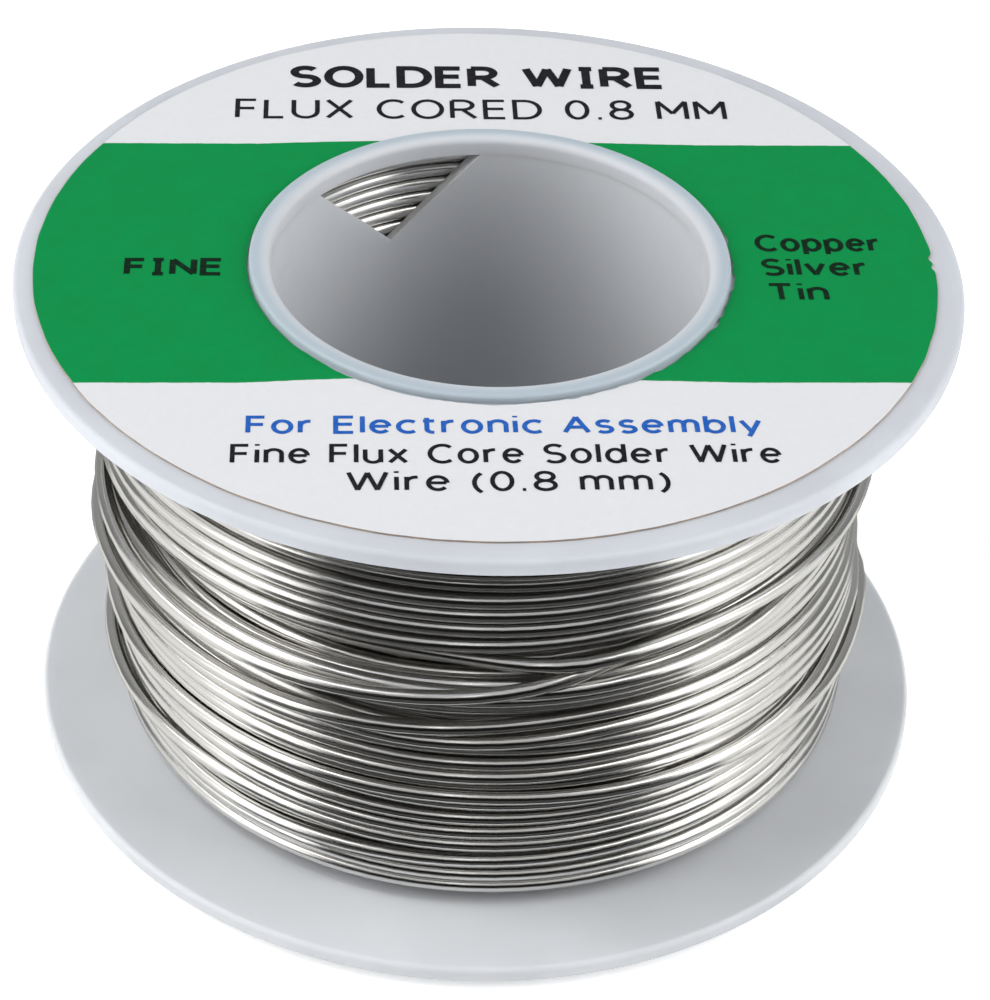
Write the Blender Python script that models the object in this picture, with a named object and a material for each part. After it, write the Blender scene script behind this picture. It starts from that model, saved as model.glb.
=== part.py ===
"""Small spool of flux-cored solder wire: two moulded flanges on a core tube, a printed paper label on
the upper flange, and the winding of wire between the flanges. Metres, +Z along the spool's axis, origin
at the middle of the lower end collar, which is what the spool stands on."""

import math

import bmesh
import bpy

MM = 0.001

# Driving dimensions
FLANGE_RADIUS = 25.0 * MM
FLANGE_THICKNESS = 1.0 * MM
FLANGE_SPAN = 28.4 * MM          # from the lower flange's outer face to the upper flange's outer face
RIM_ROUNDING = 0.3 * MM
BORE_RADIUS = 11.6 * MM
WALL_THICKNESS = 1.1 * MM        # of the core tube and of the collar around the bore
COLLAR_HEIGHT = 0.5 * MM
COLLAR_ROUNDING = 0.15 * MM
SEAT_DEPTH = 0.4 * MM            # how far each end of the core tube sits in its flange
LABEL_OUTER_RADIUS = 23.75 * MM
LABEL_THICKNESS = 0.15 * MM
LABEL_OFFSET = (-0.2 * MM, 0.1 * MM)
WINDING_END_RADIUS = 19.9 * MM
WINDING_BULGE = 0.9 * MM         # how much fatter the winding is half way up
WINDOW_HEIGHT = 4.5 * MM
WINDOW_HALF_ANGLE = math.radians(23.0)
WINDOW_TURN = math.radians(29.0)  # from +Y towards -X
GAP = 0.3 * MM                   # between pieces that touch
LABEL_GAP = 0.1 * MM

STEPS = 72                       # facets around the axis
ROUNDING_STEPS = 2
WINDING_STEPS = 12

# Sizes and heights that follow
WALL_RADIUS = BORE_RADIUS + WALL_THICKNESS
FLANGE_LOW_Z = COLLAR_HEIGHT
TUBE_LOW_Z = COLLAR_HEIGHT + FLANGE_THICKNESS - SEAT_DEPTH + GAP
FLANGE_TOP_Z = COLLAR_HEIGHT + FLANGE_SPAN
OVERALL_HEIGHT = FLANGE_SPAN + 2 * COLLAR_HEIGHT
TUBE_TOP_Z = OVERALL_HEIGHT - TUBE_LOW_Z
WINDING_LOW_Z = COLLAR_HEIGHT + FLANGE_THICKNESS + GAP
WINDING_TOP_Z = OVERALL_HEIGHT - WINDING_LOW_Z
WINDOW_TOP_Z = FLANGE_TOP_Z - FLANGE_THICKNESS


def clear_scene():
    for thing in list(bpy.data.objects):
        bpy.data.objects.remove(thing, do_unlink=True)


def material(name, colour, roughness, metallic=0.0):
    made = bpy.data.materials.new(name)
    made.use_nodes = True
    shader = made.node_tree.nodes["Principled BSDF"]
    shader.inputs["Base Color"].default_value = (*colour, 1.0)
    shader.inputs["Roughness"].default_value = roughness
    shader.inputs["Metallic"].default_value = metallic
    return made


def add_object(name, bm, finish):
    mesh = bpy.data.meshes.new(name)
    bmesh.ops.recalc_face_normals(bm, faces=bm.faces)
    bm.to_mesh(mesh)
    bm.free()
    mesh.materials.append(finish)
    mesh.shade_smooth()
    mesh.set_sharp_from_angle(angle=math.radians(35))
    made = bpy.data.objects.new(name, mesh)
    bpy.context.collection.objects.link(made)
    return made


def turned(name, profile, finish):
    """A closed (radius, z) outline spun once around the axis."""
    bm = bmesh.new()
    points = [bm.verts.new((radius, 0.0, z)) for radius, z in profile]
    edges = [bm.edges.new((points[i - 1], points[i])) for i in range(len(points))]
    bmesh.ops.spin(
        bm, geom=points + edges, cent=(0, 0, 0), axis=(0, 0, 1),
        angle=math.tau, steps=STEPS, use_merge=True,
    )
    return add_object(name, bm, finish)


def rounded(centre, radius, start, end):
    """Points of a quarter round in the outline, from angle start to angle end in degrees."""
    points = []
    for step in range(ROUNDING_STEPS + 1):
        angle = math.radians(start + (end - start) * step / ROUNDING_STEPS)
        points.append((centre[0] + radius * math.cos(angle), centre[1] + radius * math.sin(angle)))
    return points


def flange_outline():
    """The lower flange: a collar below the disc, and a seat for the core tube in its upper face."""
    disc_top = FLANGE_LOW_Z + FLANGE_THICKNESS
    seat_radius = WALL_RADIUS + GAP
    rim = FLANGE_RADIUS - RIM_ROUNDING
    collar_edge = WALL_RADIUS - COLLAR_ROUNDING
    bore_edge = BORE_RADIUS + COLLAR_ROUNDING
    outline = rounded((bore_edge, COLLAR_ROUNDING), COLLAR_ROUNDING, 180, 270)
    outline += rounded((collar_edge, COLLAR_ROUNDING), COLLAR_ROUNDING, 270, 360)
    outline += [(WALL_RADIUS, FLANGE_LOW_Z)]
    outline += rounded((rim, FLANGE_LOW_Z + RIM_ROUNDING), RIM_ROUNDING, 270, 360)
    outline += rounded((rim, disc_top - RIM_ROUNDING), RIM_ROUNDING, 0, 90)
    outline += [(seat_radius, disc_top), (seat_radius, disc_top - SEAT_DEPTH)]
    outline += [(BORE_RADIUS, disc_top - SEAT_DEPTH)]
    return outline


def upside_down(outline):
    return [(radius, OVERALL_HEIGHT - z) for radius, z in outline]


def make_flanges():
    turned("bottom_flange", flange_outline(), material("bottom_flange", (0.66, 0.69, 0.72), 0.42))
    turned("top_flange", upside_down(flange_outline()), material("top_flange", (0.66, 0.69, 0.72), 0.42))


def window_cutter():
    """A wedge through the tube's wall: wide at the tube's upper end, with its point downward."""
    past_wall = 2 * MM
    past_end = 1 * MM
    half_angle = WINDOW_HALF_ANGLE * (WINDOW_HEIGHT + past_end) / WINDOW_HEIGHT
    high = WINDOW_TOP_Z + past_end
    corners = [(-half_angle, high), (0.0, WINDOW_TOP_Z - WINDOW_HEIGHT), (half_angle, high)]
    bm = bmesh.new()
    rings = []
    for radius in (BORE_RADIUS - past_wall, WALL_RADIUS + past_wall):
        ring = []
        for turn, z in corners:
            angle = WINDOW_TURN + turn
            ring.append(bm.verts.new((-radius * math.sin(angle), radius * math.cos(angle), z)))
        rings.append(ring)
    bm.faces.new(rings[0])
    bm.faces.new(rings[1])
    for i in range(3):
        bm.faces.new((rings[0][i - 1], rings[0][i], rings[1][i], rings[1][i - 1]))
    cutter = add_object("window_cutter", bm, None)
    cutter.hide_render = True
    cutter.display_type = "WIRE"
    return cutter


def make_core_tube():
    outline = [
        (BORE_RADIUS, TUBE_LOW_Z), (WALL_RADIUS, TUBE_LOW_Z),
        (WALL_RADIUS, TUBE_TOP_Z), (BORE_RADIUS, TUBE_TOP_Z),
    ]
    tube = turned("core_tube", outline, material("core_tube", (0.62, 0.65, 0.68), 0.45))
    cut = tube.modifiers.new("window", "BOOLEAN")
    cut.operation = "DIFFERENCE"
    cut.object = window_cutter()


def make_label():
    low = FLANGE_TOP_Z + LABEL_GAP
    high = low + LABEL_THICKNESS
    inner = WALL_RADIUS + GAP
    outline = [(inner, low), (LABEL_OUTER_RADIUS, low), (LABEL_OUTER_RADIUS, high), (inner, high)]
    label = turned("face_label", outline, material("face_label", (0.80, 0.81, 0.83), 0.55))
    label.location = (*LABEL_OFFSET, 0.0)


def make_winding():
    """The outer shape of the whole winding: straight inside and at the ends, slightly bulged outside."""
    inner = WALL_RADIUS + GAP
    outline = [(inner, WINDING_TOP_Z), (inner, WINDING_LOW_Z)]
    for step in range(WINDING_STEPS + 1):
        share = step / WINDING_STEPS
        radius = WINDING_END_RADIUS + WINDING_BULGE * math.sin(math.pi * share)
        outline.append((radius, WINDING_LOW_Z + share * (WINDING_TOP_Z - WINDING_LOW_Z)))
    turned("wire_winding", outline, material("wire_winding", (0.62, 0.61, 0.58), 0.28, 1.0))


clear_scene()
make_flanges()
make_core_tube()
make_label()
make_winding()
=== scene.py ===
import math

import bmesh
import bpy
import numpy as np
from mathutils import Matrix, Vector


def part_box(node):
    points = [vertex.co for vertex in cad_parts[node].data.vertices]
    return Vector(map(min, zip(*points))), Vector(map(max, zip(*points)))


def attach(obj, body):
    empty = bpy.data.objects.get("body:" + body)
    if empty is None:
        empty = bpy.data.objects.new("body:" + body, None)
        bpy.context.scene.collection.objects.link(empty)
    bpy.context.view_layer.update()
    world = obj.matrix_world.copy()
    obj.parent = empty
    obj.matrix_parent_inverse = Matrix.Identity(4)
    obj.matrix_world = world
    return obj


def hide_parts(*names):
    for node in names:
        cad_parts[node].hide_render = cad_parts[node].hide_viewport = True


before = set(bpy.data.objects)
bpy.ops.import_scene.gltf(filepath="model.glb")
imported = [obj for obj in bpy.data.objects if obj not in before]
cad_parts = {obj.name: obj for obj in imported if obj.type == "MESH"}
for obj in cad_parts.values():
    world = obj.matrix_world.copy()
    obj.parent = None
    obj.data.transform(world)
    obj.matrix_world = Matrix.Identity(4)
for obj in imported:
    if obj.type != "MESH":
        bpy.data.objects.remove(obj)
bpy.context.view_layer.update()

MM = 0.001

# Camera: where it stands, and how it is turned
CAMERA_PLACE = (0.0, -137.8 * MM, 121.0 * MM)
CAMERA_TILT = math.radians(-38.1)
CAMERA_PAN = math.radians(0.3)
CAMERA_ROLL = math.radians(2.12)
CAMERA_LENS = 112.7

# Wire
WIRE_DIAMETER = 0.8 * MM
WIRE_LENGTH = 34.6
WIRE_SIDES = 8
CORE_DIAMETER = 0.28 * MM         # of the flux inside, seen where the wire is cut
SAMPLES = 96                      # points to a turn
COARSE_STEP = 3                   # hidden inner turns keep every third point
FLANGE_CLEARANCE = 0.04 * MM      # between the wire and either flange

# The wire's inner layers
TIGHT_LAYERS = 9
TIGHT_TURNS = 30                  # to a layer
LAYER_RISE = 0.68 * MM
CROSSING = 12                     # the sample, at the back right, where a turn steps over to its next place
CROSSING_WIDTH = 12
CROSSING_RISE = 0.08 * MM

# The wire's outer turns
LOOSE_PITCH = 0.87 * MM
PITCH_SPREAD = (0.90, 1.20)
KNOTS = 7                         # random values to a turn, for its wander
WANDER_BLUR = 6.0                 # this and the other blurs are in samples
WANDER = 0.15 * MM
SWAY_KEPT = 0.90                  # of each turn's wander, how much the next turn follows
WILD_EVERY = 5                    # one turn in so many strays across its neighbours
WILD_SWAY = 0.75 * MM
CALM_MARGIN = 1.5 * MM            # so near a flange, a turn strays less
SETTLING_STEPS = 30
SLIP = 0.03 * MM                  # how far each step lets a turn slide towards a groove
PULL_BACK = 0.05                  # share of the way that each step takes it back to where it was aimed
SETTLING_BLUR = 1.8
CARRIED_ON = 12                   # samples of the last turn that smooth the start of the next
BRIDGE_BLUR = 1.5
LAP = 8                           # samples by which a turn's two ends are overlapped to blur it
WHOLE_BLUR = 1.6
WINDING_SEED = 396
HEIGHT_CELLS = 640                # of the record of how high the wire is piled
SLACK = 0.62 * MM
LEFT_SLACK_FROM = 11.4 * MM       # on the left the outer turns are slack above this height
RIGHT_SLACK_TO = 13.2 * MM        # and on the right below this one
SLACK_EDGE = 0.35 * MM
FREE_END_ANGLE = math.radians(118.0)
FREE_END_LIFT = 0.7 * MM
FREE_END_REACH = 12.0 * MM

# Plastic
FLANGE_THICKNESS = 1.0 * MM
RIM_ROUNDING = 0.28 * MM
COLLAR_ROUNDING = 0.18 * MM
BORE_ROUNDING = 0.42 * MM
COLLAR_FILLET = 0.06 * MM
WALL_THICKNESS = 1.1 * MM
TUBE_SEAT = 0.4 * MM              # how deep the tube sits in each flange
SEAT_GAP = 0.002 * MM
SIDE_GAP = 0.02 * MM              # around the tube's end
TURN_STEPS = 256
ARC_STEPS = 6
SHARP_ANGLE = math.radians(35.0)
WINDOW_HEIGHT = 4.5 * MM
WINDOW_HALF_ANGLE = math.radians(23.0)
WINDOW_TURN = math.radians(29.0)  # from +Y towards -X
WINDOW_DROP = 0.65                # how steeply the cut falls as it goes out through the wall
TUBE_TONE = (0.535, 0.548, 0.57)
# Painted shade: the collar's darker, bluer tone, for the light that its thin wall lets through
COLLAR_SHADE_TONE = (0.36, 0.42, 0.47)
# Painted light: the window's cut faces are a paler copy of the tube's plastic, for light glowing through the
# wall's cut edge
CUT_GLOW_TONE = (0.88, 0.875, 0.87)

# Label
PAPER_LIFT = 0.01 * MM
PAPER_THICKNESS = 0.1 * MM
LABEL_STEPS = 720
LABEL_SEED = 7
LABEL_TURN = math.radians(3.3)
BAND_LOW = -11.1 * MM
BAND_HIGH = 11.45 * MM
BAND_PULL = 0.45 * MM             # how far the paper's stretch around the collar bends the band
EDGE_WAVER = 0.02 * MM
HOLE_TEAR = 0.12 * MM             # deepest on the hole's right
HOLE_CLEARANCE = 0.1 * MM         # around the collar
NICK_ANGLE = -0.6                 # degrees, where the label's outer edge is torn
NICK_DEPTH = 0.22 * MM
INK_LIFT = 0.012 * MM
STROKE_LIFT = 0.004 * MM          # each stroke of a letter lies on the one before
LETTER_GAP = 0.3                  # of a capital's height

# Studio
AIM = (0.0, 0.0, 15 * MM)
SIDE_X = 0.26
SIDE_FRONT_LEFT = -0.265          # where each side's bright panel begins, towards the viewer
SIDE_FRONT_RIGHT = -0.22
SIDE_MIDDLE = -0.07               # the dimmer panel carries on from here
SIDE_BACK = 0.06
SIDE_HEIGHT = 0.3
SIDE_BRIGHTNESS = 1.55
SIDE_BACK_BRIGHTNESS = 0.85
KEY_POWER = 1.15
GLOW_DEPTH = 2 * MM               # of the lit sectors under the floor
FLOOR_REACH = 3.0


# ---------------------------------------------------------------- helpers


def link(made):
    bpy.context.collection.objects.link(made)
    return made


def new_mesh(name, points, faces, finish):
    mesh = bpy.data.meshes.new(name)
    mesh.from_pydata([tuple(p) for p in points], [], [tuple(f) for f in faces])
    mesh.materials.append(finish)
    mesh.update()
    return mesh


def smooth(mesh):
    mesh.shade_smooth()
    mesh.set_sharp_from_angle(angle=SHARP_ANGLE)


def node_box(name):
    low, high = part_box(name)
    return Vector(low), Vector(high)


def blurred(values, width):
    """Gaussian blur along a line, its ends held."""
    reach = int(3 * width) + 1
    weights = np.exp(-0.5 * (np.arange(-reach, reach + 1) / width) ** 2)
    padded = np.concatenate([np.full(reach, values[0]), values, np.full(reach, values[-1])])
    return np.convolve(padded, weights / weights.sum(), mode="valid")


def facing_out(mesh):
    bm = bmesh.new()
    bm.from_mesh(mesh)
    bmesh.ops.recalc_face_normals(bm, faces=bm.faces)
    bm.to_mesh(mesh)
    bm.free()


def ring_faces(sections, count):
    """The faces of a closed ring of sections, each a closed outline of count points."""
    faces = []
    for section in range(sections):
        here = section * count
        there = (section + 1) % sections * count
        for i in range(count):
            j = (i + 1) % count
            faces.append((here + i, there + i, there + j, here + j))
    return faces


def turned(name, outline, finish):
    """A closed (radius, z) outline turned around the axis."""
    points = []
    for step in range(TURN_STEPS):
        angle = math.tau * step / TURN_STEPS
        points += [(r * math.cos(angle), r * math.sin(angle), z) for r, z in outline]
    mesh = new_mesh(name, points, ring_faces(TURN_STEPS, len(outline)), finish)
    facing_out(mesh)
    smooth(mesh)
    return link(bpy.data.objects.new(name, mesh))


def ellipse_part(centre, across, up, start, end, steps):
    """Points along part of an ellipse, from one angle to another in degrees."""
    points = []
    for step in range(steps + 1):
        angle = math.radians(start + (end - start) * step / steps)
        points.append((centre[0] + across * math.cos(angle), centre[1] + up * math.sin(angle)))
    return points


def arc(centre, radius, start, end):
    return ellipse_part(centre, radius, radius, start, end, ARC_STEPS)


# ---------------------------------------------------------------- sizes from the frame

FLANGE_BOX = node_box("top_flange")
FOOT_BOX = node_box("bottom_flange")
TUBE_BOX = node_box("core_tube")
LABEL_BOX = node_box("face_label")
FLANGE_RADIUS = FLANGE_BOX[1].x
HEIGHT = FLANGE_BOX[1].z
WALL_RADIUS = TUBE_BOX[1].x
BORE_RADIUS = WALL_RADIUS - WALL_THICKNESS
LABEL_CENTRE = (LABEL_BOX[0] + LABEL_BOX[1]) / 2
LABEL_RADIUS = (LABEL_BOX[1].x - LABEL_BOX[0].x) / 2
COLLAR_HEIGHT = FOOT_BOX[1].z - FLANGE_THICKNESS
FACE_Z = HEIGHT - COLLAR_HEIGHT              # the upper flange's outer face
INNER_LOW_Z = COLLAR_HEIGHT + FLANGE_THICKNESS
INNER_HIGH_Z = HEIGHT - INNER_LOW_Z


# ---------------------------------------------------------------- material nodes


class Finish:
    """A material being built: short names for adding and joining nodes."""

    def __init__(self, name):
        self.material = bpy.data.materials.new(name)
        self.material.use_nodes = True
        self.tree = self.material.node_tree
        self.shader = self.tree.nodes["Principled BSDF"]

    def set(self, **values):
        for name, value in values.items():
            self.shader.inputs[name.replace("_", " ")].default_value = value

    def node(self, kind, **settings):
        made = self.tree.nodes.new(kind)
        for name, value in settings.items():
            setattr(made, name, value)
        return made

    def join(self, source, target):
        self.tree.links.new(source, target)

    def place(self):
        return self.node("ShaderNodeTexCoord").outputs["Object"]

    def stretched(self, source, scale):
        mapping = self.node("ShaderNodeMapping")
        mapping.inputs["Scale"].default_value = scale
        self.join(source, mapping.inputs["Vector"])
        return mapping.outputs["Vector"]

    def noise(self, source, scale, detail=3.0, roughness=0.5):
        made = self.node("ShaderNodeTexNoise")
        made.inputs["Scale"].default_value = scale
        made.inputs["Detail"].default_value = detail
        made.inputs["Roughness"].default_value = roughness
        self.join(source, made.inputs["Vector"])
        return made.outputs["Fac"]

    def ramp(self, source, low, high, from_low=0.0, from_high=1.0):
        made = self.node("ShaderNodeMapRange")
        made.inputs["From Min"].default_value = from_low
        made.inputs["From Max"].default_value = from_high
        made.inputs["To Min"].default_value = low
        made.inputs["To Max"].default_value = high
        self.join(source, made.inputs["Value"])
        return made.outputs["Result"]

    def mix(self, share, first, second):
        made = self.node("ShaderNodeMix", data_type="RGBA")
        self.join(share, made.inputs[0])
        for value, socket in ((first, 6), (second, 7)):
            if isinstance(value, bpy.types.NodeSocket):
                self.join(value, made.inputs[socket])
            else:
                made.inputs[socket].default_value = (*value, 1.0)
        return made.outputs[2]

    def math(self, operation, first, second):
        made = self.node("ShaderNodeMath", operation=operation)
        for value, socket in ((first, 0), (second, 1)):
            if isinstance(value, bpy.types.NodeSocket):
                self.join(value, made.inputs[socket])
            else:
                made.inputs[socket].default_value = value
        return made.outputs[0]

    def from_axis(self, place):
        """Distance from the object's own upright axis."""
        made = self.node("ShaderNodeVectorMath", operation="LENGTH")
        self.join(self.stretched(place, (1.0, 1.0, 0.0)), made.inputs[0])
        return made.outputs["Value"]

    def bump(self, height, strength, distance):
        made = self.node("ShaderNodeBump")
        made.inputs["Strength"].default_value = strength
        made.inputs["Distance"].default_value = distance
        self.join(height, made.inputs["Height"])
        self.join(made.outputs["Normal"], self.shader.inputs["Normal"])

    def colour(self, source):
        self.join(source, self.shader.inputs["Base Color"])

    def gloss(self, source):
        self.join(source, self.shader.inputs["Roughness"])


def plastic(name, light, shade, collar_shade, bore=TUBE_TONE):
    """Natural-white moulded plastic, cloudy rather than opaque, with a faint tool grain and scuffs. On the
    collar, where there is only a thin wall, it is painted bluer and darker: painted shade, for the light
    that the thin wall lets through. Inside the bore it has the tube's tone."""
    made = Finish(name)
    made.set(IOR=1.49, Subsurface_Weight=0.25, Subsurface_Scale=0.0012)
    made.shader.inputs["Subsurface Radius"].default_value = (1.0, 1.05, 1.15)
    place = made.place()
    cloud = made.noise(place, 140.0, 2.0)
    body = made.mix(made.ramp(cloud, 0.0, 1.0, 0.35, 0.65), light, shade)
    radius = made.from_axis(place)
    # Painted shade: the collar is blued and darkened, for the light that its thin wall lets through
    collar_shade_share = made.ramp(radius, 1.0, 0.0, WALL_RADIUS - 0.1 * MM, WALL_RADIUS + 0.5 * MM)
    past_bore = made.ramp(radius, 0.0, 1.0, BORE_RADIUS + 0.05 * MM, BORE_RADIUS + 0.7 * MM)
    made.colour(made.mix(past_bore, bore, made.mix(collar_shade_share, body, collar_shade)))
    made.gloss(made.ramp(made.noise(place, 900.0, 4.0), 0.3, 0.46, 0.3, 0.7))
    made.bump(made.noise(place, 5200.0, 3.0), 0.12, 0.02 * MM)
    return made.material


def solder():
    """Bright drawn tin alloy: fine die lines along the wire, faint duller stretches."""
    made = Finish("solder_wire_metal")
    made.set(Metallic=1.0, IOR=1.6)
    along = made.node("ShaderNodeUVMap", uv_map="along").outputs["UV"]
    lines = made.noise(made.stretched(along, (0.25, 26.0, 1.0)), 1.0, 3.0, 0.6)
    patches = made.noise(made.stretched(along, (0.12, 1.0, 1.0)), 1.0, 2.0)
    made.colour(made.mix(made.ramp(patches, 0.0, 1.0, 0.3, 0.7), (0.81, 0.80, 0.775), (0.71, 0.70, 0.675)))
    made.gloss(made.ramp(patches, 0.17, 0.24, 0.3, 0.7))
    made.bump(lines, 0.10, 0.02 * MM)
    return made.material


def flux():
    """The dull amber resin in the middle of the wire."""
    made = Finish("flux_core")
    made.set(IOR=1.5)
    grain = made.noise(made.place(), 4000.0, 2.0)
    made.colour(made.mix(grain, (0.42, 0.29, 0.12), (0.30, 0.20, 0.08)))
    made.gloss(made.ramp(grain, 0.4, 0.6))
    return made.material


def paper():
    """Coated white label paper. A green band is printed across it between two straight edges, which the
    paper's stretch around the collar pulls slightly out of line."""
    made = Finish("label_paper")
    made.set(IOR=1.45, Specular_IOR_Level=0.12)
    place = made.place()
    across = made.node("ShaderNodeSeparateXYZ")
    made.join(place, across.inputs[0])
    fibres = made.noise(place, 2600.0, 4.0, 0.6)
    mottle = made.noise(place, 700.0, 3.0)
    white = made.mix(made.ramp(fibres, 0.0, 1.0, 0.3, 0.7), (0.595, 0.60, 0.619), (0.578, 0.584, 0.603))
    green = made.mix(made.ramp(mottle, 0.0, 1.0, 0.35, 0.65), (0.001, 0.215, 0.053), (0.002, 0.203, 0.049))
    wobble = made.ramp(made.noise(place, 1800.0, 2.0), -0.04 * MM, 0.04 * MM)
    pulled = made.ramp(made.from_axis(place), -BAND_PULL, 0.0, WALL_RADIUS, WALL_RADIUS + 4 * MM)
    one_sided = made.ramp(across.outputs["X"], 1.0, 0.35, -15 * MM, 15 * MM)
    height = made.math("ADD", across.outputs["Y"], wobble)
    height = made.math("ADD", height, made.math("MULTIPLY", pulled, one_sided))
    above = made.math("GREATER_THAN", height, BAND_LOW)
    below = made.math("LESS_THAN", height, BAND_HIGH)
    made.colour(made.mix(made.math("MULTIPLY", above, below), white, green))
    made.gloss(made.ramp(fibres, 0.42, 0.6))
    made.bump(fibres, 0.15, 0.02 * MM)
    return made.material


def cut_paper():
    """The label's cut edges, in a tan-brown tone."""
    made = Finish("label_cut_edge")
    made.set(IOR=1.45, Specular_IOR_Level=0.2)
    grain = made.noise(made.place(), 900.0, 3.0)
    made.colour(made.mix(made.ramp(grain, 0.0, 1.0, 0.35, 0.65), (0.44, 0.34, 0.26), (0.30, 0.25, 0.22)))
    made.gloss(made.ramp(grain, 0.6, 0.8))
    return made.material


def ink(name, tone, lighter):
    made = Finish(name)
    made.set(IOR=1.45, Specular_IOR_Level=0.12)
    place = made.place()
    grain = made.noise(place, 3000.0, 3.0)
    made.colour(made.mix(made.ramp(grain, 0.0, 1.0, 0.4, 0.75), tone, lighter))
    made.gloss(made.ramp(grain, 0.4, 0.6))
    return made.material


# ---------------------------------------------------------------- the winding


def standing_off(angles, z):
    """How far the slack outer turns stand off the layer beneath: on the left in the upper part, and on the
    right in the lower part."""
    left = np.clip(-np.cos(angles), 0.0, 1.0) ** 1.5
    right = np.clip(np.cos(angles), 0.0, 1.0) ** 1.5
    high = 1.0 / (1.0 + np.exp(-(z - LEFT_SLACK_FROM) / SLACK_EDGE))
    low = 1.0 / (1.0 + np.exp((z - RIGHT_SLACK_TO) / SLACK_EDGE))
    return SLACK * (left * high + right * low)


def eased(rows, centre, width):
    """0 to 1 across a stretch of samples, level at both ends."""
    share = np.clip((rows - centre) / width + 0.5, 0.0, 1.0)
    return share * share * (3 - 2 * share)


def tight_layers(rows, low, high):
    """The inner layers: every turn lies level in a groove of the layer beneath, and steps over to its next
    place at the back right, where the layers cross and stand a little higher."""
    pitch = (high - low) / TIGHT_TURNS
    levels = []
    for layer in range(TIGHT_LAYERS):
        radius = WALL_RADIUS + WIRE_DIAMETER / 2 + layer * LAYER_RISE
        if layer % 2 == 0:
            levels += [(low + i * pitch, radius, layer) for i in range(TIGHT_TURNS + 1)]
        else:
            levels += [(high - (i + 0.5) * pitch, radius, layer) for i in range(TIGHT_TURNS)]
    hump = np.exp(-((rows - CROSSING) / (0.8 * CROSSING_WIDTH)) ** 2)
    step = eased(rows, CROSSING, CROSSING_WIDTH)
    z_parts = []
    r_parts = []
    before = levels[0]
    for level in levels:
        z_parts.append(before[0] + (level[0] - before[0]) * step)
        r_parts.append(before[1] + (level[1] - before[1]) * step + hump * level[2] * CROSSING_RISE)
        before = level
    return z_parts, r_parts


class Pile:
    """What is already wound: at each sample round the spool and each height, how far out the centre of a
    wire laid there would rest."""

    def __init__(self, low, high):
        self.low = low
        self.high = high
        self.heights = np.linspace(low, high, HEIGHT_CELLS)
        self.cell = self.heights[1] - self.heights[0]
        self.rows = np.arange(SAMPLES)
        self.rest = np.full((SAMPLES, HEIGHT_CELLS), WALL_RADIUS + WIRE_DIAMETER / 2)

    def radius(self, z):
        spot = np.clip((z - self.low) / self.cell, 0, HEIGHT_CELLS - 1.001)
        index = spot.astype(int)
        share = spot - index
        return self.rest[self.rows, index] * (1 - share) + self.rest[self.rows, index + 1] * share

    def lay(self, z, r):
        reach = int(WIRE_DIAMETER / self.cell) + 1
        for row in self.rows:
            first = max(int((z[row] - self.low) / self.cell) - reach, 0)
            last = min(first + 2 * reach + 2, HEIGHT_CELLS)
            gap = self.heights[first:last] - z[row]
            lift = np.sqrt(np.clip(WIRE_DIAMETER**2 - gap**2, 0.0, None))
            lift[np.abs(gap) >= WIRE_DIAMETER] = -1.0
            self.rest[row, first:last] = np.maximum(self.rest[row, first:last], r[row] + lift)

    def settled(self, target, last_z):
        """One turn's heights, after it slips sideways towards the nearest grooves."""
        step = 2 * self.cell
        z = target.copy()
        for _ in range(SETTLING_STEPS):
            slope = (self.radius(z + step) - self.radius(z - step)) / (2 * step)
            z = z - np.clip(slope, -1.0, 1.0) * SLIP + PULL_BACK * (target - z)
            z = blurred(np.concatenate([last_z, z]), SETTLING_BLUR)[CARRIED_ON:]
            z = np.clip(z, self.low, self.high)
        return z

    def bridged(self, z):
        """One turn's radii: it is too stiff to dip into every hollow between the turns it crosses."""
        r = self.radius(z)
        peaks = np.max([np.roll(r, shift) for shift in (-1, 0, 1)], axis=0)
        lapped = np.concatenate([r[-LAP:], peaks, r[:LAP]])
        return np.maximum(r, blurred(lapped, BRIDGE_BLUR)[LAP:-LAP])


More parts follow.
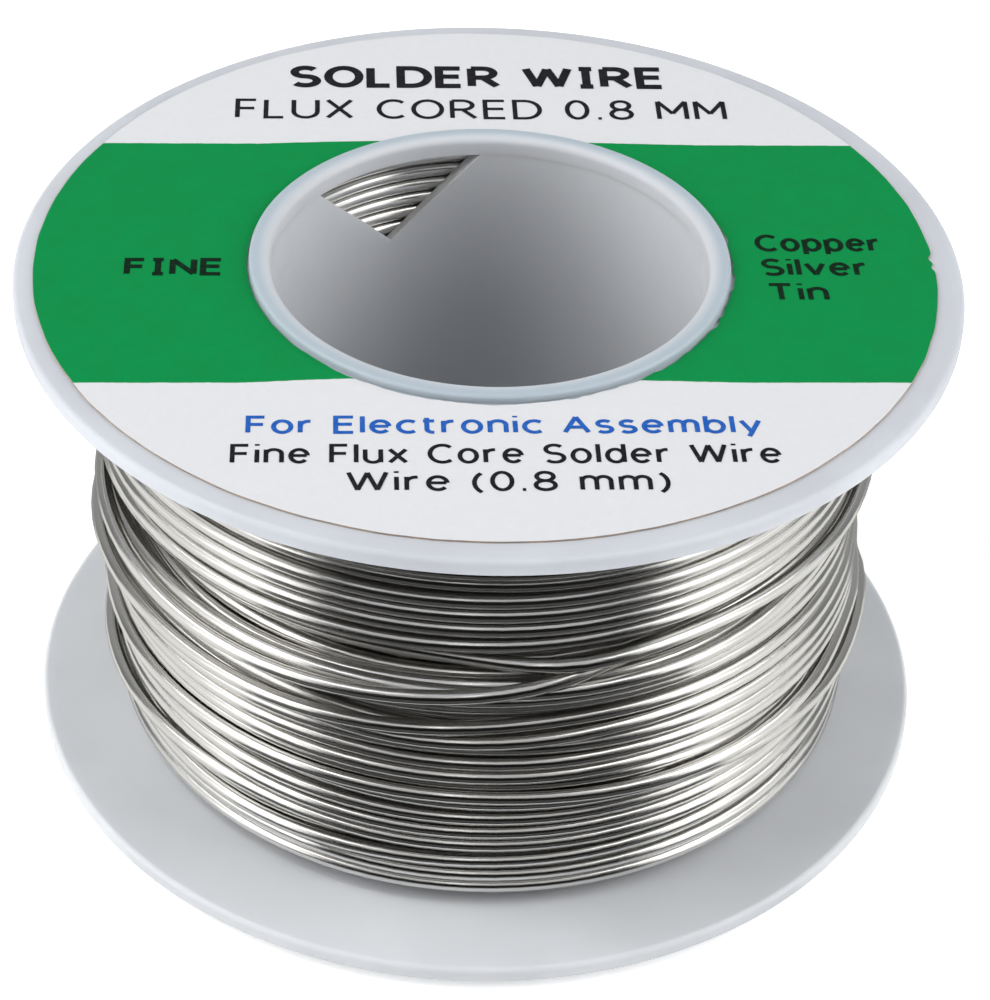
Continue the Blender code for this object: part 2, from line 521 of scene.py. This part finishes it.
def wound_path():
    """The centreline of the whole wire, and how many of its turns are tight. Past those it is laid turn by
    turn: each turn rests on what is already wound, and the layers turn back at the flanges."""
    rng = np.random.default_rng(WINDING_SEED)
    low = INNER_LOW_Z + WIRE_DIAMETER / 2 + FLANGE_CLEARANCE
    high = INNER_HIGH_Z - WIRE_DIAMETER / 2 - FLANGE_CLEARANCE
    pile = Pile(low, high)
    rows = pile.rows
    travel = (rows + 1) / SAMPLES
    z_parts, r_parts = tight_layers(rows, low, high)
    for z, r in zip(z_parts[-2 * TIGHT_TURNS:], r_parts[-2 * TIGHT_TURNS:]):
        pile.lay(z, r)
    length = sum(r.mean() for r in r_parts) * math.tau
    tight = len(z_parts)
    direction = 1.0 if TIGHT_LAYERS % 2 == 0 else -1.0
    guide = z_parts[-1][-1]
    sway = np.zeros(SAMPLES)
    while length < WIRE_LENGTH:
        pitch = LOOSE_PITCH * rng.uniform(*PITCH_SPREAD)
        if not low < guide + direction * pitch < high:
            direction = -direction
        aim = guide + direction * pitch * travel
        guide = aim[-1]
        knots = rng.normal(0.0, 1.0, KNOTS)
        knots[-1] = knots[0]
        fresh = blurred(np.interp(rows, np.linspace(0, SAMPLES - 1, KNOTS), knots), WANDER_BLUR)
        sway = SWAY_KEPT * sway + WANDER * fresh
        is_wild = (len(z_parts) - tight) % WILD_EVERY == WILD_EVERY - 1
        strayed = sway + WILD_SWAY * fresh if is_wild else sway
        room = np.clip(np.minimum(aim - low, high - aim) / CALM_MARGIN, 0.0, 1.0)
        z = pile.settled(np.clip(aim + strayed * room, low, high), z_parts[-1][-CARRIED_ON:])
        r = pile.bridged(z)
        pile.lay(z, r)
        z_parts.append(z)
        r_parts.append(r)
        length += r.mean() * math.tau
    z = np.concatenate(z_parts)
    turns = len(z_parts)
    angle = np.tile(rows * math.tau / SAMPLES, turns)
    done = np.clip((np.arange(len(z)) / SAMPLES - tight) / (turns - tight), 0.0, 1.0)
    r = blurred(np.concatenate(r_parts), WHOLE_BLUR) + done * standing_off(angle, z)
    return np.column_stack([r * np.cos(angle), r * np.sin(angle), z]), tight


def end_faces(edge, core):
    """The cut face of the wire: a ring of metal around the flux core. Both circles start at these points."""
    faces = []
    for here in range(WIRE_SIDES):
        there = (here + 1) % WIRE_SIDES
        faces.append([edge + here, edge + there, core + there, core + here])
    return faces + [[core + side for side in range(WIRE_SIDES)]]


def without_hidden_points(path, tight):
    """The whole path, with fewer points in the turns that neither the window nor the outside shows."""
    keep = np.ones(len(path), bool)
    hidden = np.arange((TIGHT_TURNS + 2) * SAMPLES, (tight - 1) * SAMPLES)
    keep[hidden[hidden % COARSE_STEP != 0]] = False
    return path[keep]


def ended(path):
    """The path up to the free end at the back, which springs a little away from the pile, and how far along
    the wire each point is."""
    steps = np.linalg.norm(np.diff(path, axis=0), axis=1)
    along = np.concatenate([[0.0], np.cumsum(steps)])
    turned_by = np.arctan2(path[:, 1], path[:, 0]) - FREE_END_ANGLE
    at_back = np.abs(np.angle(np.exp(1j * turned_by))) < 0.6 * math.tau / SAMPLES
    end = np.flatnonzero(at_back)[-1] + 1
    path = path[:end]
    along = along[:end]
    lift = FREE_END_LIFT * np.clip(1 - (along[-1] - along) / FREE_END_REACH, 0.0, 1.0) ** 2
    path = path * (1 + lift / np.hypot(path[:, 0], path[:, 1]))[:, None] ** np.array([1, 1, 0])
    return path, along


def rings_around(path):
    """The corners of the wire's section at each point, as offsets one unit long."""
    tangent = np.gradient(path, axis=0)
    tangent /= np.linalg.norm(tangent, axis=1)[:, None]
    outward = path * np.array([1.0, 1.0, 0.0])
    outward -= (outward * tangent).sum(1)[:, None] * tangent
    outward /= np.linalg.norm(outward, axis=1)[:, None]
    upward = np.cross(outward, tangent)
    around = (np.arange(WIRE_SIDES) * math.tau / WIRE_SIDES)[None, :, None]
    return np.cos(around) * outward[:, None] + np.sin(around) * upward[:, None]


def mark_along(mesh, along):
    """A UV map of the distance along the wire in millimetres and the share of the way around it."""
    uv = mesh.uv_layers.new(name="along")
    corner = np.empty(len(mesh.loops), np.int32)
    mesh.loops.foreach_get("vertex_index", corner)
    reached = np.concatenate([along, along[[0, -1]]])
    place = np.column_stack([reached[corner // WIRE_SIDES] / MM, corner % WIRE_SIDES / WIRE_SIDES])
    uv.data.foreach_set("uv", place.astype(np.float32).ravel())


def make_wire():
    path, along = ended(without_hidden_points(*wound_path()))
    offset = rings_around(path)
    rings = path[:, None] + offset * WIRE_DIAMETER / 2
    core = path[[0, -1], None] + offset[[0, -1]] * CORE_DIAMETER / 2
    points = np.concatenate([rings, core]).reshape(-1, 3)
    count = len(path)
    i = np.arange(count - 1)[:, None] * WIRE_SIDES
    j = np.arange(WIRE_SIDES)[None]
    k = (j + 1) % WIRE_SIDES
    faces = np.stack([i + j, i + WIRE_SIDES + j, i + WIRE_SIDES + k, i + k], axis=-1).reshape(-1, 4)
    ends = end_faces(0, count * WIRE_SIDES)
    ends += end_faces((count - 1) * WIRE_SIDES, (count + 1) * WIRE_SIDES)
    mesh = bpy.data.meshes.new("solder_wire")
    mesh.from_pydata(points.tolist(), [], faces.tolist() + ends)
    mesh.materials.append(solder())
    mesh.materials.append(flux())
    mark_along(mesh, along)
    mesh.shade_smooth()
    for face in mesh.polygons[-len(ends):]:
        face.use_smooth = False
    mesh.polygons[-1].material_index = 1
    mesh.polygons[-1 - len(ends) // 2].material_index = 1
    facing_out(mesh)
    mesh.update()
    wire = link(bpy.data.objects.new("solder_wire", mesh))
    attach(wire, "root")
    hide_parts("wire_winding")


# ---------------------------------------------------------------- the spool


def flange_outline():
    """The lower flange with its collar below and the tube's seat above, counter-clockwise."""
    rim = FLANGE_RADIUS - RIM_ROUNDING
    seat_radius = WALL_RADIUS + SIDE_GAP
    seat_z = INNER_LOW_Z - TUBE_SEAT
    outline = arc((BORE_RADIUS + BORE_ROUNDING, BORE_ROUNDING), BORE_ROUNDING, 180, 270)
    outline += arc((WALL_RADIUS - COLLAR_ROUNDING, COLLAR_ROUNDING), COLLAR_ROUNDING, 270, 360)
    outline += [(WALL_RADIUS, COLLAR_HEIGHT - COLLAR_FILLET), (WALL_RADIUS + COLLAR_FILLET, COLLAR_HEIGHT)]
    outline += arc((rim, COLLAR_HEIGHT + RIM_ROUNDING), RIM_ROUNDING, 270, 360)
    outline += arc((rim, INNER_LOW_Z - RIM_ROUNDING), RIM_ROUNDING, 0, 90)
    outline += [(seat_radius, INNER_LOW_Z), (seat_radius, seat_z), (BORE_RADIUS, seat_z)]
    return outline


def make_flanges():
    finish = plastic("flange_plastic", (0.50, 0.522, 0.555), (0.465, 0.48, 0.515), COLLAR_SHADE_TONE)
    # Painted light: the lower flange is a paler copy of the same plastic, for the bright floor lighting it
    # through from below
    floor_lit_finish = plastic("lower_flange_plastic_painted_light", (0.57, 0.585, 0.605), (0.535, 0.55, 0.57), COLLAR_SHADE_TONE)
    lower = turned("lower_flange", flange_outline(), floor_lit_finish)
    flipped = [(r, HEIGHT - z) for r, z in reversed(flange_outline())]
    upper = turned("upper_flange", flipped, finish)
    for piece, node in ((lower, "bottom_flange"), (upper, "top_flange")):
        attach(piece, "root")
        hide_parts(node)


def window_cutter():
    """A wedge that is V-shaped when looked at from the bore, and that reaches past the wall all round."""
    past = 1.0 * MM
    spread = WINDOW_HALF_ANGLE * (WINDOW_HEIGHT + past) / WINDOW_HEIGHT
    points = []
    for radius in (BORE_RADIUS - past, WALL_RADIUS + 3 * past):
        point = INNER_HIGH_Z - WINDOW_HEIGHT - WINDOW_DROP * (radius - BORE_RADIUS)
        for turn, z in ((-spread, INNER_HIGH_Z + past), (0.0, point), (spread, INNER_HIGH_Z + past)):
            angle = WINDOW_TURN + turn
            points.append((-radius * math.sin(angle), radius * math.cos(angle), z))
    faces = [(0, 1, 2), (5, 4, 3), (0, 3, 4, 1), (1, 4, 5, 2), (2, 5, 3, 0)]
    # Painted light: the cut faces get this much paler plastic, for light glowing through the wall's cut edge
    edge = plastic("tube_cut_edge_painted_glow", CUT_GLOW_TONE, (0.84, 0.835, 0.83), CUT_GLOW_TONE, CUT_GLOW_TONE)
    mesh = new_mesh("cutter", points, faces, edge)
    facing_out(mesh)
    return link(bpy.data.objects.new("cutter", mesh))


def make_tube():
    low = INNER_LOW_Z - TUBE_SEAT + SEAT_GAP
    high = HEIGHT - low
    outline = [(BORE_RADIUS, low), (WALL_RADIUS, low), (WALL_RADIUS, high), (BORE_RADIUS, high)]
    finish = plastic("tube_plastic", TUBE_TONE, (0.505, 0.518, 0.54), TUBE_TONE)
    tube = turned("barrel", outline, finish)
    cutter = window_cutter()
    cut = tube.modifiers.new("window", "BOOLEAN")
    cut.object = cutter
    cut.material_mode = "TRANSFER"
    bpy.context.view_layer.update()
    evaluated = tube.evaluated_get(bpy.context.evaluated_depsgraph_get())
    cut_mesh = bpy.data.meshes.new_from_object(evaluated)
    tube.modifiers.clear()
    tube.data = cut_mesh
    smooth(cut_mesh)
    bpy.data.objects.remove(cutter)
    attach(tube, "root")
    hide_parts("core_tube")


# ---------------------------------------------------------------- the label


def torn(angle):
    """How deep the label's outer edge is torn at an angle, as a share: two notches side by side."""
    away = (math.degrees(angle) + 180.0 - NICK_ANGLE) % 360.0 - 180.0
    return math.exp(-((away - 0.9) / 0.7) ** 2) + 0.8 * math.exp(-((away + 1.2) / 0.5) ** 2)


def make_paper():
    """The paper ring, off the spool's centre by a hair, with a hole that fits the collar. Its cut edges
    waver, most at the hole's right, and its outer edge has a small torn nick."""
    rng = np.random.default_rng(LABEL_SEED)
    low = FACE_Z + PAPER_LIFT
    high = low + PAPER_THICKNESS
    inner_waver = np.abs(blurred(rng.normal(0, 1.4, LABEL_STEPS), 2.6))
    outer_waver = blurred(rng.normal(0, 1.4, LABEL_STEPS), 2.4)
    hole = Vector((-LABEL_CENTRE.x, -LABEL_CENTRE.y))
    hole.rotate(Matrix.Rotation(-LABEL_TURN, 2))
    points = []
    for step in range(LABEL_STEPS):
        angle = math.tau * step / LABEL_STEPS
        ragged = 0.5 + 0.5 * math.cos(angle + 0.7)
        outer = LABEL_RADIUS + outer_waver[step] * EDGE_WAVER - torn(angle) * NICK_DEPTH
        inner = WALL_RADIUS + HOLE_CLEARANCE + inner_waver[step] * (EDGE_WAVER + HOLE_TEAR * ragged)
        x = math.cos(angle)
        y = math.sin(angle)
        points += [(outer * x, outer * y, low), (outer * x, outer * y, high)]
        points += [(hole.x + inner * x, hole.y + inner * y, z) for z in (high, low)]
    mesh = new_mesh("paper_label", points, ring_faces(LABEL_STEPS, 4), paper())
    mesh.materials.append(cut_paper())
    for index, face in enumerate(mesh.polygons):
        face.material_index = 1 - index % 2     # the outer and inner edges are every other face
    smooth(mesh)
    label = link(bpy.data.objects.new("paper_label", mesh))
    label.location = (LABEL_CENTRE.x, LABEL_CENTRE.y, 0.0)
    label.rotation_euler = (0.0, 0.0, LABEL_TURN)
    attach(label, "root")
    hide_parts("face_label")


def bend(x, y, across, up, start, end):
    """A round stroke of a letter."""
    return ellipse_part((x, y), across, up, start, end, max(3, int(abs(end - start) / 15)))


# A plain lettering of even strokes: each letter's width, then its strokes. A capital is 1 high.
BOWL = bend(0.28, 0.375, 0.28, 0.375, 0, 360)
LETTERS = {
    "A": (0.76, [(0, 0), (0.38, 1), (0.76, 0)], [(0.13, 0.33), (0.63, 0.33)]),
    "C": (0.7, bend(0.42, 0.5, 0.42, 0.5, 48, 312)),
    "D": (0.72, [(0, 0), (0, 1), (0.3, 1)] + bend(0.3, 0.5, 0.42, 0.5, 90, -90) + [(0, 0)]),
    "E": (0.56, [(0.56, 1), (0, 1), (0, 0), (0.56, 0)], [(0, 0.53), (0.52, 0.53)]),
    "F": (0.52, [(0.52, 1), (0, 1), (0, 0)], [(0, 0.52), (0.48, 0.52)]),
    "I": (0.34, [(0.17, 0), (0.17, 1)], [(0, 1), (0.34, 1)], [(0, 0), (0.34, 0)]),
    "L": (0.5, [(0, 1), (0, 0), (0.5, 0)]),
    "M": (0.8, [(0, 0), (0, 1), (0.4, 0.3), (0.8, 1), (0.8, 0)]),
    "N": (0.68, [(0, 0), (0, 1), (0.68, 0), (0.68, 1)]),
    "O": (0.82, bend(0.41, 0.5, 0.41, 0.5, 0, 360)),
    "R": (0.66, [(0, 0), (0, 1)], [(0, 1), (0.3, 1)] + bend(0.3, 0.74, 0.29, 0.26, 90, -90) + [(0, 0.48)],
          [(0.3, 0.48), (0.66, 0)]),
    "S": (0.62, bend(0.31, 0.755, 0.285, 0.245, 35, 270) + bend(0.31, 0.255, 0.31, 0.255, 90, -145)),
    "T": (0.7, [(0, 1), (0.7, 1)], [(0.35, 1), (0.35, 0)]),
    "U": (0.68, [(0, 1)] + bend(0.34, 0.34, 0.34, 0.34, 180, 360) + [(0.68, 1)]),
    "W": (1.12, [(0, 1), (0.27, 0), (0.56, 0.98), (0.85, 0), (1.12, 1)]),
    "X": (0.68, [(0, 0), (0.68, 1)], [(0, 1), (0.68, 0)]),
    "b": (0.56, [(0, 0), (0, 1.05)], BOWL),
    "c": (0.5, bend(0.32, 0.375, 0.32, 0.375, 50, 310)),
    "d": (0.56, [(0.56, 0), (0.56, 1.05)], BOWL),
    "e": (0.56, [(0.04, 0.4), (0.53, 0.4)], bend(0.28, 0.38, 0.28, 0.37, 3, 320)),
    "i": (0.0, [(0, 0), (0, 0.75)], [(0, 0.97), (0, 1.07)]),
    "l": (0.0, [(0, 0), (0, 1.05)]),
    "m": (0.86, [(0, 0), (0, 0.75)], bend(0.215, 0.5, 0.215, 0.25, 180, 0) + [(0.43, 0)],
          bend(0.645, 0.5, 0.215, 0.25, 180, 0) + [(0.86, 0)]),
    "n": (0.52, [(0, 0), (0, 0.75)], bend(0.26, 0.49, 0.26, 0.26, 180, 0) + [(0.52, 0)]),
    "o": (0.56, BOWL),
    "p": (0.56, [(0, -0.27), (0, 0.75)], BOWL),
    "r": (0.34, [(0, 0), (0, 0.75)], bend(0.3, 0.45, 0.3, 0.28, 180, 85)),
    "s": (0.46, bend(0.23, 0.565, 0.21, 0.185, 35, 270) + bend(0.23, 0.19, 0.23, 0.19, 90, -145)),
    "t": (0.36, [(0.12, 0.95)] + bend(0.32, 0.2, 0.2, 0.2, 180, 280), [(0, 0.74), (0.36, 0.74)]),
    "u": (0.52, [(0, 0.75)] + bend(0.26, 0.26, 0.26, 0.26, 180, 360), [(0.52, 0.75), (0.52, 0)]),
    "v": (0.58, [(0, 0.75), (0.29, 0), (0.58, 0.75)]),
    "x": (0.54, [(0, 0), (0.54, 0.75)], [(0, 0.75), (0.54, 0)]),
    "y": (0.58, [(0, 0.75), (0.3, 0.03)], [(0.58, 0.75), (0.2, -0.27)]),
    "0": (0.58, bend(0.29, 0.5, 0.29, 0.5, 0, 360)),
    "8": (0.58, bend(0.29, 0.76, 0.25, 0.24, 0, 360), bend(0.29, 0.26, 0.29, 0.26, 0, 360)),
    ".": (0.1, [(0, 0.01), (0.1, 0.01)]),
    "(": (0.24, bend(0.5, 0.4, 0.5, 0.66, 125, 235)),
    ")": (0.24, bend(-0.26, 0.4, 0.5, 0.66, 55, -55)),
    " ": (0.2,),
}


def inked(stroke, pen):
    """The two edges of a pen stroke along a row of points, mitred at its corners."""
    points = np.array(stroke, float)
    moved = np.linalg.norm(np.diff(points, axis=0), axis=1) > 1e-6
    points = points[np.concatenate([[True], moved])]
    closed = np.allclose(points[0], points[-1])
    ways = np.diff(points, axis=0)
    ways /= np.linalg.norm(ways, axis=1)[:, None]
    if closed:
        before = np.vstack([ways[-1:], ways])
        after = np.vstack([ways, ways[:1]])
    else:
        before = np.vstack([ways[:1], ways])
        after = np.vstack([ways, ways[-1:]])
    lean = before + after
    lean /= np.linalg.norm(lean, axis=1)[:, None]
    side = np.column_stack([-lean[:, 1], lean[:, 0]])
    stretch = np.clip((lean * before).sum(1), 0.4, 1.0)
    offset = side * (pen / 2 / stretch)[:, None]
    return points + offset, points - offset


def turns_back(before, here, after):
    """Whether a stroke turns sharply at its middle point of three."""
    way_in = Vector(here) - Vector(before)
    way_out = Vector(after) - Vector(here)
    if min(way_in.length, way_out.length) <= 0.01:
        return False
    return way_in.normalized().dot(way_out.normalized()) < -0.2


def unbent(strokes):
    """The same strokes, cut in two wherever they turn back sharply."""
    cut = []
    for stroke in strokes:
        run = [stroke[0]]
        for before, here, after in zip(stroke, stroke[1:], stroke[2:]):
            run.append(here)
            if turns_back(before, here, after):
                cut.append(run)
                run = [here]
        cut.append(run + [stroke[-1]])
    return cut


def facing_up(mesh):
    bm = bmesh.new()
    bm.from_mesh(mesh)
    bm.normal_update()
    bmesh.ops.reverse_faces(bm, faces=[face for face in bm.faces if face.normal.z < 0])
    bm.to_mesh(mesh)
    bm.free()


def print_line(name, words, centre, baseline, capital, width, finish, weight):
    """One line of flat ink on the paper. Its strokes' weight is a share of its capitals' height."""
    pen = weight * capital
    full = sum(LETTERS[letter][0] for letter in words) + LETTER_GAP * (len(words) - 1)
    stretch = (width - pen) / full
    points = []
    faces = []
    x = centre - (width - pen) / 2
    for letter in words:
        for layer, stroke in enumerate(unbent(LETTERS[letter][1:])):
            placed = [(x + u * stretch, baseline + pen / 2 + v * (capital - pen)) for u, v in stroke]
            left, right = inked(placed, pen)
            first = len(points)
            for a, b in zip(left, right):
                points += [(a[0], a[1], layer * STROKE_LIFT), (b[0], b[1], layer * STROKE_LIFT)]
            for i in range(len(left) - 1):
                k = first + 2 * i
                faces.append((k, k + 1, k + 3, k + 2))
        x += (LETTERS[letter][0] + LETTER_GAP) * stretch
    printed = link(bpy.data.objects.new(name, new_mesh(name, points, faces, finish)))
    facing_up(printed.data)
    printed.rotation_euler = (0.0, 0.0, LABEL_TURN)
    printed.location = (0.0, 0.0, FACE_Z + PAPER_LIFT + PAPER_THICKNESS + INK_LIFT)
    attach(printed, "root")


def make_print():
    black = ink("black_ink", (0.006, 0.006, 0.009), (0.018, 0.018, 0.024))
    blue = ink("blue_ink", (0.010, 0.082, 0.36), (0.025, 0.12, 0.42))
    dark = ink("black_on_green", (0.002, 0.011, 0.005), (0.004, 0.024, 0.010))
    # Each line's name, words, centre, baseline, capitals' height and width in mm, ink and stroke weight
    lines = [
        ("print_title", "SOLDER WIRE", 0.0, 17.62, 2.45, 21.6, black, 0.2),
        ("print_gauge", "FLUX CORED 0.8 MM", 0.1, 14.22, 2.15, 27.8, black, 0.125),
        ("print_left", "FINE", -16.6, -1.5, 1.65, 5.2, dark, 0.2),
        ("print_right_1", "Copper", 17.6, 0.86, 1.65, 6.8, dark, 0.17),
        ("print_right_2", "Silver", 17.15, -1.45, 1.65, 5.7, dark, 0.17),
        ("print_right_3", "Tin", 16.0, -3.76, 1.65, 3.2, dark, 0.17),
        ("print_use", "For Electronic Assembly", 0.15, -15.25, 1.5, 25.4, blue, 0.165),
        ("print_kind", "Fine Flux Core Solder Wire", 0.15, -17.65, 1.6, 26.8, black, 0.145),
        ("print_size", "Wire (0.8 mm)", 0.15, -19.82, 1.6, 15.6, black, 0.145),
    ]
    for name, words, centre, baseline, capital, width, finish, weight in lines:
        print_line(name, words, centre * MM, baseline * MM, capital * MM, width * MM, finish, weight)


# ---------------------------------------------------------------- camera, floor and light


def make_camera():
    data = bpy.data.cameras.new("camera")
    data.lens = CAMERA_LENS
    data.clip_start = 0.01
    data.clip_end = 10.0
    camera = link(bpy.data.objects.new("camera", data))
    turn = Matrix.Rotation(-CAMERA_PAN, 4, "Z") @ Matrix.Rotation(math.pi / 2 + CAMERA_TILT, 4, "X")
    turn = turn @ Matrix.Rotation(CAMERA_ROLL, 4, "Z")
    camera.matrix_world = Matrix.Translation(CAMERA_PLACE) @ turn
    bpy.context.scene.camera = camera


def area_light(name, place, aim, width, height, power):
    data = bpy.data.lights.new(name, "AREA")
    data.shape = "RECTANGLE"
    data.size = width
    data.size_y = height
    data.energy = power
    lamp = link(bpy.data.objects.new(name, data))
    lamp.location = place
    lamp.rotation_euler = (Vector(aim) - Vector(place)).to_track_quat("-Z", "Y").to_euler()
    return lamp


def panel(name, place, aim, width, height, brightness):
    """A soft panel of an even brightness, seen in mirrors too: its power follows from its area."""
    return area_light(name, place, aim, width, height, brightness * math.pi * width * height)


def side_panel(name, x, front, back, brightness):
    """An upright panel beside the spool, facing straight across."""
    middle = (front + back) / 2
    height = SIDE_HEIGHT / 2
    panel(name, (x, middle, height), (0.0, middle, height), back - front, SIDE_HEIGHT, brightness)


def unmirrored(name, place, width, height, power):
    """A lamp that lights the plastic and the paper, and isn't seen in the wire."""
    lamp = area_light(name, place, AIM, width, height, power)
    lamp.visible_glossy = False


def floor_paint():
    """White paint that is lit a little from within, more so far from the spool, where the lamps
    don't reach, and not at all beneath it."""
    made = Finish("floor_paint")
    made.set(Base_Color=(0.93, 0.93, 0.935, 1.0), Roughness=0.9, Emission_Color=(1.0, 1.0, 1.0, 1.0))
    place = made.place()
    distance = made.from_axis(place)
    glow = made.ramp(distance, 0.3, 0.93, 0.10, 0.6)
    outside = made.ramp(distance, 0.0, 1.0, 11 * MM, 22 * MM)
    made.join(made.math("MULTIPLY", glow, outside), made.shader.inputs["Emission Strength"])
    made.bump(made.noise(place, 400.0), 0.02, 0.1 * MM)
    return made.material


def under_glow(name, start, end, near, far, brightness):
    """A lit sector just under the floor that only mirrors see: what the lower halves of the wires reflect.
    Its angles are measured from the front, towards the right."""
    finish = Finish(name)
    finish.set(Base_Color=(0.0, 0.0, 0.0, 1.0), Emission_Color=(1.0, 1.0, 0.98, 1.0))
    finish.set(Emission_Strength=brightness)
    steps = 12
    points = []
    for radius in (near, far):
        for x, y in ellipse_part((0.0, 0.0), radius, radius, start - 90, end - 90, steps):
            points.append((x, y, -GLOW_DEPTH))
    faces = [(i, i + 1, steps + 2 + i, steps + 1 + i) for i in range(steps)]
    card = link(bpy.data.objects.new(name, new_mesh(name, points, faces, finish.material)))
    card.visible_camera = False
    card.visible_diffuse = False
    card.visible_shadow = False
    card.visible_transmission = False


def make_world():
    """Dim in front, greyer behind, and pale where it is seen past the floor's edge."""
    world = bpy.data.worlds.new("studio")
    world.use_nodes = True
    tree = world.node_tree
    background = tree.nodes["Background"]
    place = tree.nodes.new("ShaderNodeTexCoord")
    parts = tree.nodes.new("ShaderNodeSeparateXYZ")
    tree.links.new(place.outputs["Generated"], parts.inputs[0])
    shade = tree.nodes.new("ShaderNodeMapRange")
    shade.interpolation_type = "SMOOTHSTEP"
    for name, value in (("From Min", 0.0), ("From Max", 0.75), ("To Min", 0.006), ("To Max", 0.33)):
        shade.inputs[name].default_value = value
    tree.links.new(parts.outputs["Y"], shade.inputs["Value"])
    seen = tree.nodes.new("ShaderNodeLightPath")
    pale = tree.nodes.new("ShaderNodeMix")
    tree.links.new(seen.outputs["Is Camera Ray"], pale.inputs["Factor"])
    tree.links.new(shade.outputs["Result"], pale.inputs[2])
    pale.inputs[3].default_value = 1.03
    tree.links.new(pale.outputs[0], background.inputs["Strength"])
    background.inputs["Color"].default_value = (0.97, 0.985, 1.0, 1.0)
    bpy.context.scene.world = world
    bpy.context.scene.view_settings.view_transform = "Standard"


def make_floor():
    far = FLOOR_REACH
    corners = [(-far, -far, 0.0), (far, -far, 0.0), (far, far, 0.0), (-far, far, 0.0)]
    mesh = new_mesh("floor", corners, [(0, 1, 2, 3)], floor_paint())
    floor = link(bpy.data.objects.new("floor", mesh))
    floor.visible_glossy = False


def make_lights():
    """Panels that the wire mirrors, lamps that it doesn't, and the lit sectors under the floor. The wire is
    bright at its sides and dark in the middle, but for one narrow glint."""
    for side, x, front in (("left", -SIDE_X, SIDE_FRONT_LEFT), ("right", SIDE_X, SIDE_FRONT_RIGHT)):
        side_panel("side_" + side, x, front, SIDE_MIDDLE, SIDE_BRIGHTNESS)
        side_panel("side_back_" + side, x, SIDE_MIDDLE, SIDE_BACK, SIDE_BACK_BRIGHTNESS)
        panel("high_" + side, (0.82 * x, -0.02, 0.34), AIM, 0.28, 0.19, 2.2)
    high_front = panel("high_front", (0.0, -0.22, 0.33), AIM, 0.42, 0.28, 0.53)
    high_front.visible_diffuse = False
    panel("glint", (-0.018, -0.26, 0.31), AIM, 0.012, 0.16, 2.5)
    unmirrored("into_bore", (-0.17, -0.03, 0.36), 0.08, 0.08, 0.32)
    unmirrored("fill", (0.0, -0.42, 0.14), 0.4, 0.2, 0.16)
    unmirrored("key_left", (-0.38, -0.05, 0.20), 0.3, 0.3, KEY_POWER)
    unmirrored("key_right", (0.38, -0.05, 0.20), 0.3, 0.3, KEY_POWER)
    under_glow("glow_front", -52, 52, 0.034, 0.08, 0.06)
    for side, way in (("left", -1), ("right", 1)):
        under_glow("glow_" + side, way * 52, way * 112, 0.012, 0.5, 0.85)
        under_glow("glow_behind_" + side, way * 112, way * 170, 0.012, 0.5, 0.35)


make_camera()
make_wire()
make_flanges()
make_tube()
make_paper()
make_print()
make_floor()
make_world()
make_lights()
